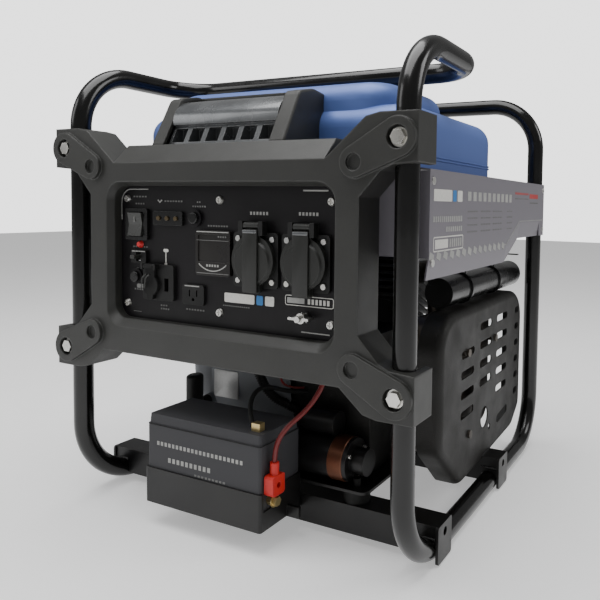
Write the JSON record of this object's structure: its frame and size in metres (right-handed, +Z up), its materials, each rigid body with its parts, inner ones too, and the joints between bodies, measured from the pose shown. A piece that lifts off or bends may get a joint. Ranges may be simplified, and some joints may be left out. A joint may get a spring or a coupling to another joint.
{
  "type": "portable generator",
  "caption": "Open-frame portable inverter generator: tube frame, control panel with sockets, battery, fuel tank, engine, muffler behind a slotted heat shield.",
  "frame": {"origin": "on the floor, under the centre of the whole generator's bounding box", "axes": "+Z up, the control panel faces -Y, the muffler and heat shield are on +X, the pull start on -X"},
  "size_m": [0.452, 0.4606, 0.507],
  "materials": {
    "frame_paint": "gloss black enamel on steel tube",
    "sheet_paint": "satin black paint on pressed steel",
    "rubber": "black moulded rubber",
    "zinc": "zinc plated fasteners",
    "battery_case": "textured black case",
    "red_rubber": "soft red boot and insulation",
    "black_wire": "black insulation",
    "olive_plastic": "textured dark olive grey moulding",
    "panel_black": "satin black printed plate",
    "matte_black": "matt black moulding",
    "gloss_black": "gloss black moulding",
    "red_lens": "red lens",
    "white_plastic": "off-white lever",
    "led_lens": "clear domes",
    "brass": "brass stud",
    "silver_plastic": "silver painted moulding",
    "tank_blue": "gloss deep blue paint",
    "grey_sheet": "satin grey paint on sheet steel",
    "cast_aluminium": "as cast",
    "ceramic": "glazed insulator",
    "steel": "ground steel",
    "iron": "cast iron rotor",
    "shroud_grey": "dark grey moulding",
    "starter_paint": "dark painted drum",
    "exhaust_steel": "heat-dulled steel",
    "shield_paint": "matt grey-brown heat paint"
  },
  "bodies": {
    "frame": {"front_hoop": "frame_paint", "rear_hoop": "frame_paint", "front_channel": "sheet_paint", "rear_channel": "sheet_paint", "rubber_mounts": "rubber", "engine_cradle": "sheet_paint", "corner_bolts": "zinc", "battery": "battery_case", "battery_tray": "sheet_paint", "battery_lugs": "zinc", "positive_boot": "red_rubber", "positive_lead": "red_rubber", "negative_lead": "black_wire", "panel_frame": "olive_plastic", "control_panel": "panel_black", "panel_screws": "zinc", "socket_left": "matte_black", "socket_right": "matte_black", "socket_screws": "zinc", "small_socket": "matte_black", "dc_outlet": "matte_black", "switch_housing": "matte_black", "pilot_lamp": "red_lens", "breaker_body": "matte_black", "indicator_block": "gloss_black", "indicator_leds": "led_lens", "voltmeter": "gloss_black", "ground_stud": "brass", "top_cowl": "olive_plastic", "vent_drum": "silver_plastic", "fuel_tank": "tank_blue", "side_panel_right": "grey_sheet", "side_panel_left": "grey_sheet", "inverter_module": "cast_aluminium", "engine_block": "cast_aluminium", "cylinder_head": "cast_aluminium", "valve_cover": "sheet_paint", "spark_plug": "ceramic", "stator": "steel", "fan_shroud": "shroud_grey", "recoil_cover": "shroud_grey", "starter_motor": "starter_paint", "carburetor": "cast_aluminium", "air_cleaner": "matte_black", "muffler": "exhaust_steel", "heat_shield": "shield_paint", "evap_canister": "matte_black"},
    "rocker": {"start_rocker": "gloss_black"},
    "breaker_lever": {"breaker_toggle": "white_plastic"},
    "reset_stem": {"reset_button": "matte_black"},
    "dc_reset_stem": {"dc_reset_button": "matte_black"},
    "left_lid": {"lid_left": "gloss_black"},
    "right_lid": {"lid_right": "gloss_black"},
    "dc_flap": {"dc_cap": "matte_black"},
    "ground_nut": {"wing_nut": "brass"},
    "tank_cap": {"fuel_cap": "matte_black"},
    "rotor": {"crankshaft": "steel", "flywheel_rotor": "iron"},
    "pulley": {"recoil_pulley": "matte_black"},
    "grip": {"recoil_grip": "matte_black"}
  },
  "joints": [
    {"name": "start_rock", "type": "hinge", "parent": "frame", "child": "rocker", "pos_m": [-0.1155, -0.20875, 0.3225], "axis": [1, 0, 0], "range_deg": [-8, 8]},
    {"name": "breaker_flip", "type": "hinge", "parent": "frame", "child": "breaker_lever", "pos_m": [-0.1125, -0.20975, 0.2876], "axis": [1, 0, 0], "range_deg": [-14, 14]},
    {"name": "reset_press", "type": "slide", "parent": "frame", "child": "reset_stem", "axis": [0, 1, 0], "range_m": [0, 0.003], "stiffness_N_per_m": 400},
    {"name": "dc_reset_press", "type": "slide", "parent": "frame", "child": "dc_reset_stem", "axis": [0, 1, 0], "range_m": [0, 0.003], "stiffness_N_per_m": 400},
    {"name": "left_lid_lift", "type": "hinge", "parent": "frame", "child": "left_lid", "pos_m": [0.047, -0.21725, 0.326], "axis": [-1, 0, 0], "range_deg": [0, 110], "stiffness_Nm_per_rad": 0.01, "springref_deg": -34.38},
    {"name": "right_lid_lift", "type": "hinge", "parent": "frame", "child": "right_lid", "pos_m": [0.1057, -0.21725, 0.326], "axis": [-1, 0, 0], "range_deg": [0, 110], "stiffness_Nm_per_rad": 0.01, "springref_deg": -34.38},
    {"name": "dc_cap_lift", "type": "hinge", "parent": "frame", "child": "dc_flap", "pos_m": [-0.091, -0.21675, 0.2782], "axis": [-1, 0, 0], "range_deg": [0, 110]},
    {"name": "ground_nut_spin", "type": "hinge", "parent": "frame", "child": "ground_nut", "pos_m": [0.1045, -0.21575, 0.2406], "axis": [0, 1, 0], "continuous": true},
    {"name": "cap_turn", "type": "hinge", "parent": "frame", "child": "tank_cap", "pos_m": [0.06, 0.06225, 0.46], "axis": [0, 0, 1], "range_deg": [0, 90]},
    {"name": "crank_spin", "type": "hinge", "parent": "frame", "child": "rotor", "pos_m": [0, -0.034, 0.141], "axis": [1, 0, 0], "continuous": true},
    {"name": "pull_start", "type": "slide", "parent": "frame", "child": "grip", "axis": [0, -1, 0], "range_m": [0, 0.6], "stiffness_N_per_m": 20, "springref_m": -0.3},
    {"name": "pulley_turn", "type": "hinge", "parent": "frame", "child": "pulley", "pos_m": [-0.113, -0.034, 0.141], "axis": [1, 0, 0], "range_deg": [0, 860]}
  ],
  "couplings": [
    {"joint": "pulley_turn", "follows": "pull_start", "rad_per_m": 25}
  ]
}
